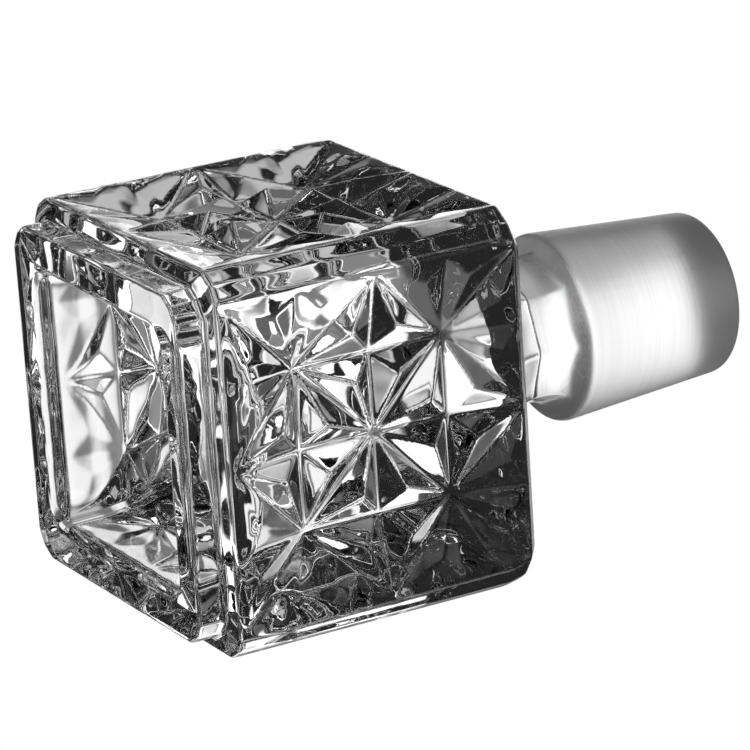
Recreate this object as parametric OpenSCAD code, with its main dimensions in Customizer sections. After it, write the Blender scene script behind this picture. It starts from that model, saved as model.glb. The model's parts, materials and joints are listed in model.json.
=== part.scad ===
// Square pressed-glass stopper with a hollow star-patterned head and a ground plug.
// The plug axis runs along X. The open end of the head faces -X and one side of the head rests on Z = 0.

/* [Head] */
// Outside width and height of the square head
head_w = 45; // [43:0.5:50]
// Length of the full-width part of the head, along the plug axis
body_len = 39.1; // [38.7:0.1:46]
// How far the softened long edges run in from each corner
edge_leg = 2.9; // [2.3:0.1:3.2]
// How far the middle of a softened long edge is cut back from both sides
edge_mid = 1.1; // [0.5:0.1:1.4]
// Chamfer around the plug end of the head
end_chamfer = 1.3; // [1:0.1:1.6]
// How much more the long edges are softened where they meet the plug end
corner_soft = 0.7; // [0.2:0.1:1.2]
// Length over which the long edges take on that extra softening
corner_len = 3.6; // [2.5:0.1:6]

/* [Open end] */
// Length of the bevel between the full width and the rim
bevel_len = 0.8; // [0.4:0.1:3]
// Length of the narrower square rim
rim_len = 3.2; // [1.2:0.1:6]
// How far the rim stands back from each side of the head
rim_step = 2.1; // [0.5:0.1:3]

/* [Cavity] */
// Width of the square hollow at its mouth
cavity_w = 30.9; // [26:0.1:32.5]
// How far each wall of the hollow draws in before it turns into the floor
cavity_draft = 0.2; // [0.05:0.05:0.6]
// Depth of the middle of the hollow from the rim
cavity_depth = 12.6; // [11:0.1:24]
// Radius of the dished floor of the hollow
dish_r = 23; // [21:0.5:60]
// Rounding between the walls and the dished floor
floor_r = 4.4; // [1:0.1:5]
// Rounding of the long corners of the hollow
cavity_r = 2.4; // [1:0.1:4]
// Width of the chamfer around the mouth of the hollow
lip_chamfer = 0.7; // [0.3:0.1:1.5]

/* [Star relief] */
// Spacing of the star centres along and across a side
star_pitch = 9.5; // [8.5:0.1:9.8]
// Depth of the star centres below the sides of the head
pit_depth = 2.5; // [2.3:0.1:3.2]
// Height of the pyramids above the star centres
star_h = 2.2; // [1:0.1:2.2]
// How far the outermost points of the pattern rise past the sides, which leaves leaf-shaped ends
edge_rise = 0.05; // [0.03:0.01:0.3]

/* [Neck] */
// Length of the faceted neck between the head and the ground plug
neck_len = 15; // [13.6:0.2:24]
// Width of the neck across opposite corners at its waist
waist_d = 17.4; // [14:0.2:19]
// Width of the neck across opposite corners where it leaves the head
root_d = 27; // [22:0.5:34]
// Length of the sloping root of the neck, next to the head
root_len = 9.6; // [4:0.2:11]
// Length of the hollow curve that widens the flats of the neck to the plug
cove_len = 3.4; // [2.6:0.2:5]
// Width of the neck across opposite corners where the flats meet the plug
meet_d = 20; // [19:0.1:21]
// Length of the round flare that the flats run into, behind the plug
flare_len = 1; // [0.7:0.1:1.6]
// Diameter at which the round flare comes out from under the flats
flare_d = 17; // [15:0.2:17.2]

/* [Plug] */
// Diameter of the ground plug at its thick end
plug_d = 22.8; // [20.6:0.2:26]
// Diameter of the ground plug at its thin end
plug_tip_d = 19.8; // [16:0.2:21.8]
// Length of the ground plug
plug_len = 22.2; // [14:0.2:36]
// Chamfer of the edge at the thick end
shoulder_chamfer = 0.4; // [0.2:0.1:1]
// Rounding of the edge at the thin end
tip_r = 1.1; // [0.4:0.1:2]

/* [Hidden] */

$fn = 96;

half_w = head_w / 2;
total_len = rim_len + bevel_len + body_len + neck_len + plug_len;

// Stations along X, from the open end to the tip of the plug
x_rim = -total_len / 2;
x_bevel = x_rim + rim_len;
x_body = x_bevel + bevel_len;
x_end = x_body + body_len;
x_plug = x_end + neck_len;
x_tip = x_plug + plug_len;
x_mid = (x_body + x_end) / 2;

// Overlap between pieces that are joined into one
lap = 0.6;

// One cell of the star grid has two pyramids, each with its peak at the middle of a corner triangle
cells = 4;
peak = 1 - sqrt(1 / 2);

neck_sides = 8;
cove_steps = 5;
cove_turn = 60;
flare_steps = 4;
flare_curve = 1.35;
corner_steps = 6;
floor_steps = 5;
dish_steps = 6;

// The dish ends in a small flat, and its outlines turn from square to round towards the middle
dish_end = 88.5;
corner_gain = 0.6;
roundest = 0.96;

// Outline of the head at one station: a square whose corners are softened by two flats
function softened(x, h, leg, mid) = [
    for (s = [[1, 1], [-1, 1], [-1, -1], [1, -1]])
        for (p = s[0] * s[1] > 0
                ? [[h, h - leg], [h - mid, h - mid], [h - leg, h]]
                : [[h - leg, h], [h - mid, h - mid], [h, h - leg]])
            [x, s[0] * p[0], s[1] * p[1]]
];

// Outline of the cavity at one station: a square with round corners
function rounded(x, h, r) = [
    for (q = [0 : 3])
        for (k = [0 : corner_steps])
            let (a = 90 * (q + k / corner_steps), c = [[1, 1], [-1, 1], [-1, -1], [1, -1]][q])
            [x, c[0] * (h - r) + r * cos(a), c[1] * (h - r) + r * sin(a)]
];

// Outline of the neck at one station: an even polygon with a corner on top
function ring(x, d) = [
    for (k = [0 : neck_sides - 1])
        let (a = k * 360 / neck_sides)
        [x, d / 2 * cos(a), d / 2 * sin(a)]
];

// A solid through a row of outlines that all have the same number of points
module loft(rows) {
    n = len(rows[0]);
    last = len(rows) - 1;
    polyhedron(
        points = [for (r = rows) for (p = r) p],
        faces = concat(
            [[for (k = [0 : n - 1]) k]],
            [for (i = [0 : last - 1]) for (k = [0 : n - 1])
                [i * n + k, (i + 1) * n + k, (i + 1) * n + (k + 1) % n]],
            [for (i = [0 : last - 1]) for (k = [0 : n - 1])
                [i * n + k, (i + 1) * n + (k + 1) % n, i * n + (k + 1) % n]],
            [[for (k = [n - 1 : -1 : 0]) last * n + k]]
        )
    );
}

// The space that the star pattern leaves open on one side, with the side itself at Z = 0.
// The star centres lie in pits, and the outermost points of the grid rise to the side.
module star_mould() {
    n = cells + 1;
    h = cells / 2;
    w = h * star_pitch;
    grid = [
        for (j = [0 : cells]) for (i = [0 : cells])
            let (outer = max(abs(i - h), abs(j - h)) == h)
            [(i - h) * star_pitch, (j - h) * star_pitch, outer ? edge_rise : -pit_depth]
    ];
    // Corner triangles, counter-clockwise, with the right angle first
    corners = [
        for (j = [0 : cells - 1]) for (i = [0 : cells - 1])
            for (t = (i + j) % 2 == 0
                    ? [[[1, 0], [1, 1], [0, 0]], [[0, 1], [0, 0], [1, 1]]]
                    : [[[0, 0], [1, 0], [0, 1]], [[1, 1], [0, 1], [1, 0]]])
                [for (c = t) (j + c[1]) * n + i + c[0]]
    ];
    peaks = [
        for (t = corners)
            let (p = grid[t[0]] + peak * (grid[t[1]] - grid[t[0]]) + peak * (grid[t[2]] - grid[t[0]]))
            [p[0], p[1], star_h - pit_depth]
    ];
    lid = [[-w, -w, lap], [w, -w, lap], [w, w, lap], [-w, w, lap]];
    p0 = n * n;
    b0 = p0 + len(peaks);
    polyhedron(
        points = concat(grid, peaks, lid),
        faces = concat(
            [for (k = [0 : len(corners) - 1]) for (e = [0 : 2])
                [corners[k][e], corners[k][(e + 1) % 3], p0 + k]],
            [concat([b0, b0 + 1], [for (i = [cells : -1 : 0]) i])],
            [concat([b0 + 1, b0 + 2], [for (j = [cells : -1 : 0]) j * n + cells])],
            [concat([b0 + 2, b0 + 3], [for (i = [0 : cells]) cells * n + i])],
            [concat([b0 + 3, b0], [for (j = [0 : cells]) j * n])],
            [[b0 + 3, b0 + 2, b0 + 1, b0]]
        )
    );
}

// Places a mould on each of the four sides of the head
module on_sides() {
    for (a = [0, 90, 180, 270])
        translate([x_mid, 0, 0])
            rotate([a, 0, 0])
                translate([0, 0, half_w])
                    children();
}

module head_block() {
    rim_h = half_w - rim_step;
    end_h = half_w - end_chamfer;
    end_leg = edge_leg + corner_soft;
    end_mid = edge_mid + corner_soft / 2;
    loft([
        softened(x_rim, rim_h, edge_leg, edge_mid),
        softened(x_bevel, rim_h, edge_leg, edge_mid),
        softened(x_body, half_w, edge_leg, edge_mid),
        softened(x_end - corner_len, half_w, edge_leg, edge_mid),
        softened(x_end - end_chamfer, half_w, end_leg, end_mid),
        softened(x_end, end_h, end_leg, end_mid)
    ]);
}

// Outline of the hollow at a half width h, rounder the further it has drawn in
function drawn_in(x, h) = rounded(x, h, min(roundest * h, cavity_r + corner_gain * (cavity_w / 2 - h)));

// Smooth hollow with a bevelled mouth, walls that draw in a little, and a dished floor
module cavity() {
    m = cavity_w / 2;
    wide = lip_chamfer + lap;
    x_dish = x_rim + cavity_depth - dish_r;
    // Centre of the rounding that touches both the walls and the dish, and how far the rounding turns
    h_round = m - cavity_draft - floor_r;
    reach = sqrt(pow(dish_r - floor_r, 2) - h_round * h_round);
    turn = atan2(reach, h_round);
    loft(concat(
        [
            rounded(x_rim - lap, m + wide, cavity_r + wide),
            rounded(x_rim + lip_chamfer, m, cavity_r)
        ],
        [for (k = [0 : floor_steps])
            let (a = turn * k / floor_steps)
            drawn_in(x_dish + reach + floor_r * sin(a), h_round + floor_r * cos(a))],
        [for (k = [1 : dish_steps])
            let (a = turn + (dish_end - turn) * k / dish_steps)
            drawn_in(x_dish + dish_r * sin(a), dish_r * cos(a))]
    ));
}

module head() {
    difference() {
        head_block();
        on_sides()
            star_mould();
        cavity();
    }
}

// Neck with eight flats: a sloping root, a waist, and a hollow curve out towards the plug
module neck() {
    x_cove = x_plug - cove_len;
    loft(concat(
        [
            ring(x_end - lap, root_d),
            ring(x_end, root_d),
            ring(x_end + root_len / 2, waist_d + (root_d - waist_d) / 3),
            ring(x_end + root_len, waist_d)
        ],
        [for (k = [0 : cove_steps])
            let (
                a = cove_turn * k / cove_steps,
                along = sin(a) / sin(cove_turn),
                out = (1 - cos(a)) / (1 - cos(cove_turn))
            )
            ring(x_cove + cove_len * along, waist_d + (meet_d - waist_d) * out)],
        [ring(x_plug + lap, meet_d)]
    ));
}

// Ground plug with the round flare behind it, turned about the X axis
module plug() {
    r1 = plug_d / 2;
    r2 = plug_tip_d / 2;
    c = shoulder_chamfer;
    r0 = flare_d / 2;
    flare = [
        for (k = [0 : flare_steps])
            let (t = k / flare_steps)
            [r0 + (r1 - c - r0) * pow(t, flare_curve), (t - 1) * flare_len]
    ];
    translate([x_plug, 0, 0])
        rotate([0, 90, 0])
            rotate_extrude() {
                polygon(concat(
                    [[0, -flare_len]],
                    flare,
                    [
                        [r1, c],
                        [r2, plug_len - tip_r],
                        [r2 - tip_r, plug_len - tip_r],
                        [r2 - tip_r, plug_len],
                        [0, plug_len]
                    ]
                ));
                translate([r2 - tip_r, plug_len - tip_r])
                    circle(r = tip_r);
            }
}

module stopper() {
    color([0.9, 0.95, 0.95, 0.5])
        translate([0, 0, half_w])
            union() {
                head();
                neck();
                plug();
            }
}

stopper();
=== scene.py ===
"""Looks of the square star-relief stopper: clear pressed glass with a ground plug, in a white studio."""
import json
import math

import bpy
from mathutils import Matrix, Vector


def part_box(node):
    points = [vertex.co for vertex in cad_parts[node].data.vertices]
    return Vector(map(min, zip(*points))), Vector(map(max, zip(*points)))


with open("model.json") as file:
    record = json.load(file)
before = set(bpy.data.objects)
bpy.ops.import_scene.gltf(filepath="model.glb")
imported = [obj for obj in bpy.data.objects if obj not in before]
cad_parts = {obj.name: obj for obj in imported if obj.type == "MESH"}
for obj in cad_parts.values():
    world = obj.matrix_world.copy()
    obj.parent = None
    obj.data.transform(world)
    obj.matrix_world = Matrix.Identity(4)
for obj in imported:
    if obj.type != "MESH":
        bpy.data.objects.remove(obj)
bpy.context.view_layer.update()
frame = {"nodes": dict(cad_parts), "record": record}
scene = bpy.context.scene

# ---------------------------------------------------------------- places, in metres
NODE = "stopper"
node = frame["nodes"][NODE]
lo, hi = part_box(NODE)
mounts = {mount["name"]: mount["pos_m"] for mount in frame["record"]["mounts"]}
HEAD_MIDDLE = Vector((mounts["resting_side"][0], 0, (lo.z + hi.z) / 2))
# The shoulder of the plug, where the grinding starts
PLUG_X = mounts["ground_plug"][0]

# ---------------------------------------------------------------- camera
CAM_AZIMUTH = math.radians(28.694)
CAM_ELEVATION = math.radians(17.906)
CAM_ROLL = math.radians(-3.797)
CAM_DISTANCE = 0.53385
SENSOR_MM = 36
LENS_MM = 222.408
# Where the middle of the head lies in the picture, as steps to the right and up from the picture's middle
HEAD_RIGHT = -0.01021
HEAD_UP = -0.001557


def make_camera():
    """The photograph's viewing angle: a long lens, a little above the stopper, with a slight roll."""
    ahead = Vector((math.sin(CAM_AZIMUTH) * math.cos(CAM_ELEVATION),
                    math.cos(CAM_AZIMUTH) * math.cos(CAM_ELEVATION),
                    -math.sin(CAM_ELEVATION)))
    level = Vector((math.cos(CAM_AZIMUTH), -math.sin(CAM_AZIMUTH), 0))
    above = level.cross(ahead)
    right = math.cos(CAM_ROLL) * level + math.sin(CAM_ROLL) * above
    up = math.cos(CAM_ROLL) * above - math.sin(CAM_ROLL) * level
    eye = HEAD_MIDDLE - (CAM_DISTANCE * ahead + HEAD_RIGHT * right + HEAD_UP * up)
    data = bpy.data.cameras.new("camera")
    data.sensor_width = SENSOR_MM
    data.lens = LENS_MM
    data.clip_start = 0.01
    data.clip_end = 20
    camera = bpy.data.objects.new("camera", data)
    scene.collection.objects.link(camera)
    camera.matrix_world = Matrix.Translation(eye) @ Matrix((right, up, -ahead)).transposed().to_4x4()
    scene.camera = camera


make_camera()


# ---------------------------------------------------------------- small helpers for node trees
def new_material(name):
    material = bpy.data.materials.new(name)
    material.use_nodes = True
    material.node_tree.nodes.clear()
    return material, material.node_tree.nodes, material.node_tree.links


def scaled_coords(nodes, links, source, scale):
    """Object coordinates with a scale of their own along each axis."""
    mapping = nodes.new("ShaderNodeMapping")
    mapping.inputs["Scale"].default_value = scale
    links.new(source, mapping.inputs["Vector"])
    return mapping.outputs[0]


def noise(nodes, links, vector, scale, detail):
    texture = nodes.new("ShaderNodeTexNoise")
    texture.inputs["Scale"].default_value = scale
    texture.inputs["Detail"].default_value = detail
    links.new(vector, texture.inputs["Vector"])
    return texture.outputs["Fac"]


def bump(nodes, links, height, distance, below=None):
    """The normal of a surface that rises by distance where height is 1, on top of the bump below."""
    relief = nodes.new("ShaderNodeBump")
    relief.inputs["Distance"].default_value = distance
    relief.inputs["Strength"].default_value = 1
    links.new(height, relief.inputs["Height"])
    if below is not None:
        links.new(below, relief.inputs["Normal"])
    return relief.outputs[0]


def map_range(nodes, links, value, reach, result=(0, 1)):
    """Value taken from reach to result, and held at its ends."""
    ranged = nodes.new("ShaderNodeMapRange")
    ranged.inputs["From Min"].default_value = reach[0]
    ranged.inputs["From Max"].default_value = reach[1]
    ranged.inputs["To Min"].default_value = result[0]
    ranged.inputs["To Max"].default_value = result[1]
    links.new(value, ranged.inputs["Value"])
    return ranged


# ---------------------------------------------------------------- glass
GLASS_IOR = 1.52
CLEAR_TINT = (0.96, 0.963, 0.962, 1)
# Ripple of the pressed surfaces: waves per metre, and height in metres
RIPPLE_SCALE = 180
RIPPLE_HEIGHT = 0.00018
FINE_SCALE = 1100
FINE_HEIGHT = 0.000003
# The matt plug. Grinding lines: many along X, few round the plug, each a little darker or lighter
GROUND_ROUGHNESS = 0.45
GROUND_CLEARNESS = 0.97
LINE_STRETCH = (2600, 40, 40)
LINE_HEIGHT = 0.00002
LINE_REACH = (0.3, 0.7)
LINE_TONES = (0.86, 1.0)
# How far past the shoulder the grinding fades in
GROUND_FADE = (0.0001, 0.0004)


def principled_glass(nodes, roughness, clearness):
    shader = nodes.new("ShaderNodeBsdfPrincipled")
    shader.inputs["Transmission Weight"].default_value = clearness
    shader.inputs["Roughness"].default_value = roughness
    shader.inputs["IOR"].default_value = GLASS_IOR
    return shader


def clear_glass(nodes, links, coord):
    """Pressed glass with a faint ripple."""
    shader = principled_glass(nodes, 0.0, 1.0)
    shader.inputs["Base Color"].default_value = CLEAR_TINT
    broad = bump(nodes, links, noise(nodes, links, coord, RIPPLE_SCALE, 1.0), RIPPLE_HEIGHT)
    fine = bump(nodes, links, noise(nodes, links, coord, FINE_SCALE, 1.5), FINE_HEIGHT, broad)
    links.new(fine, shader.inputs["Normal"])
    return shader


def ground_glass(nodes, links, coord):
    """Matt glass with fine grinding lines round the plug's axis."""
    shader = principled_glass(nodes, GROUND_ROUGHNESS, GROUND_CLEARNESS)
    lines = noise(nodes, links, scaled_coords(nodes, links, coord, LINE_STRETCH), 1.0, 3.0)
    links.new(bump(nodes, links, lines, LINE_HEIGHT), shader.inputs["Normal"])
    tone = map_range(nodes, links, lines, LINE_REACH, LINE_TONES)
    grey = nodes.new("ShaderNodeCombineColor")
    for channel in grey.inputs:
        links.new(tone.outputs[0], channel)
    links.new(grey.outputs[0], shader.inputs["Base Color"])
    return shader


def glass_material():
    """Clear glass up to the plug's shoulder and ground glass beyond it."""
    material, nodes, links = new_material("glass")
    coord = nodes.new("ShaderNodeTexCoord").outputs["Object"]
    along = nodes.new("ShaderNodeSeparateXYZ")
    links.new(coord, along.inputs[0])
    reach = [PLUG_X + step for step in GROUND_FADE]
    ground_share = map_range(nodes, links, along.outputs["X"], reach)
    mix = nodes.new("ShaderNodeMixShader")
    links.new(ground_share.outputs[0], mix.inputs[0])
    links.new(clear_glass(nodes, links, coord).outputs[0], mix.inputs[1])
    links.new(ground_glass(nodes, links, coord).outputs[0], mix.inputs[2])
    out = nodes.new("ShaderNodeOutputMaterial")
    links.new(mix.outputs[0], out.inputs["Surface"])
    return material


node.data.materials.clear()
node.data.materials.append(glass_material())

# ---------------------------------------------------------------- fire-polished edges
WELD_GAP = 1e-6
# Step of the even mesh that the smoothing works on, in metres, and the share of its faces that is kept
MESH_STEP = 0.0002
SMOOTH_FACTOR = 0.5
SMOOTH_ROUNDS = 18
FACES_KEPT = 0.19


def soften_edges(piece):
    """Every edge of the pressing melts a little, as fire-polished glass does."""
    weld = piece.modifiers.new("join_facets", "WELD")
    weld.merge_threshold = WELD_GAP
    remesh = piece.modifiers.new("even_mesh", "REMESH")
    remesh.mode = "VOXEL"
    remesh.voxel_size = MESH_STEP
    remesh.use_smooth_shade = True
    soft = piece.modifiers.new("soft_edges", "SMOOTH")
    soft.factor = SMOOTH_FACTOR
    soft.iterations = SMOOTH_ROUNDS
    light = piece.modifiers.new("fewer_faces", "DECIMATE")
    light.ratio = FACES_KEPT


soften_edges(node)

# ---------------------------------------------------------------- white floor, and a card behind the plug
FLOOR_HALF = 4.0
FLOOR_DROP = 0.0001
# The card's reach along X from the plug's shoulder, its reach along Y, its height, and how bright it is
CARD_X = (0.027, 0.08)
CARD_Y = (0.034, 0.065)
CARD_LIFT = 0.0005
CARD_TOP = 0.06
CARD_LIGHT = 1.5


def glowing_sheet(name, corners, faces, strength):
    """A stage piece that shines evenly on both sides."""
    mesh = bpy.data.meshes.new(name)
    mesh.from_pydata(corners, [], faces)
    sheet = bpy.data.objects.new(name, mesh)
    scene.collection.objects.link(sheet)
    material, nodes, links = new_material(name)
    glow = nodes.new("ShaderNodeEmission")
    glow.inputs["Color"].default_value = (1, 1, 1, 1)
    glow.inputs["Strength"].default_value = strength
    out = nodes.new("ShaderNodeOutputMaterial")
    links.new(glow.outputs[0], out.inputs["Surface"])
    mesh.materials.append(material)
    return sheet


def floor():
    """The white floor as the camera sees it. The glass sees the table's light from the studio instead."""
    h = FLOOR_HALF
    corners = [(-h, -h, -FLOOR_DROP), (h, -h, -FLOOR_DROP), (h, h, -FLOOR_DROP), (-h, h, -FLOOR_DROP)]
    sheet = glowing_sheet("floor", corners, [(0, 1, 2, 3)], 1.0)
    sheet.visible_transmission = False
    sheet.visible_glossy = False


def plug_card():
    """A small white sweep behind the plug, out of the camera's sight, which lights the ground glass."""
    x0, x1 = (PLUG_X + step for step in CARD_X)
    near, far = CARD_Y
    corners = [(x0, near, CARD_LIFT), (x1, near, CARD_LIFT), (x1, far, CARD_LIFT), (x0, far, CARD_LIFT),
               (x1, far, CARD_TOP), (x0, far, CARD_TOP)]
    sheet = glowing_sheet("plug_card", corners, [(0, 1, 2, 3), (3, 2, 4, 5)], CARD_LIGHT)
    sheet.visible_camera = False
    sheet.visible_diffuse = False


floor()
plug_card()

# ---------------------------------------------------------------- studio
# Light of the room itself, and the soft lamps round the stopper: name, azimuth, elevation, radius of the even
# middle and of the faded edge, in degrees, and strength. The camera looks toward azimuth 61.
ROOM = 0.018
LAMPS = [
    ("backdrop_glow", 52, -3, 2, 46, 0.25),
    ("backdrop_middle", 52, 4, 3, 15, 1.25),
    ("backdrop_right", 67, 3, 3, 15, 0.9),
    ("backdrop_low", 63, -22, 3, 12, 0.8),
    ("backdrop_left", 25, -18, 3, 14, 0.88),
    ("backdrop_high", 30, 24, 3, 14, 0.65),
    ("table_glow", 60, -50, 6, 20, 0.55),
    ("table_left", 5, -38, 3, 12, 0.42),
    ("left_box", 153, -7, 5, 16, 1.45),
    ("left_low_box", 186, -25, 5, 18, 0.85),
    ("front_box", 262, -8, 3, 14, 0.63),
    ("front_high_box", 297, 22, 4, 14, 1.26),
    ("front_low_box", 300, -48, 4, 18, 2.0),
    ("right_box", 321, 6, 4, 14, 1.35),
    ("right_low_box", 310, -8, 3, 14, 0.5),
    ("ceiling_box", 300, 65, 5, 18, 0.6),
]


def add(nodes, links, first, second):
    total = nodes.new("ShaderNodeMath")
    total.operation = "ADD"
    links.new(first, total.inputs[0])
    links.new(second, total.inputs[1])
    return total.outputs[0]


def lamp(nodes, links, direction, azimuth, elevation, middle, edge, strength):
    """A round soft lamp, far away, as an amount of light for each direction."""
    around, above = math.radians(azimuth), math.radians(elevation)
    toward = (math.cos(around) * math.cos(above), math.sin(around) * math.cos(above), math.sin(above))
    along = nodes.new("ShaderNodeVectorMath")
    along.operation = "DOT_PRODUCT"
    along.inputs[1].default_value = toward
    links.new(direction, along.inputs[0])
    reach = (math.cos(math.radians(edge)), math.cos(math.radians(middle)))
    spot = map_range(nodes, links, along.outputs["Value"], reach, (0, strength))
    spot.interpolation_type = "SMOOTHSTEP"
    return spot.outputs[0]


def studio():
    """White to the camera. To the glass, a dark room with a glowing backdrop and soft boxes."""
    world = bpy.data.worlds.new("studio")
    scene.world = world
    world.use_nodes = True
    nodes, links = world.node_tree.nodes, world.node_tree.links
    background = nodes["Background"]
    background.inputs["Color"].default_value = (1, 1, 1, 1)
    direction = nodes.new("ShaderNodeTexCoord").outputs["Generated"]
    room = nodes.new("ShaderNodeValue")
    room.outputs[0].default_value = ROOM
    light = room.outputs[0]
    for _name, *setting in LAMPS:
        light = add(nodes, links, light, lamp(nodes, links, direction, *setting))
    ray = nodes.new("ShaderNodeLightPath")
    seen = nodes.new("ShaderNodeMix")
    seen.data_type = "FLOAT"
    links.new(ray.outputs["Is Camera Ray"], seen.inputs["Factor"])
    links.new(light, seen.inputs[2])
    seen.inputs[3].default_value = 1.0
    links.new(seen.outputs[0], background.inputs["Strength"])


studio()
scene.view_settings.view_transform = "Standard"
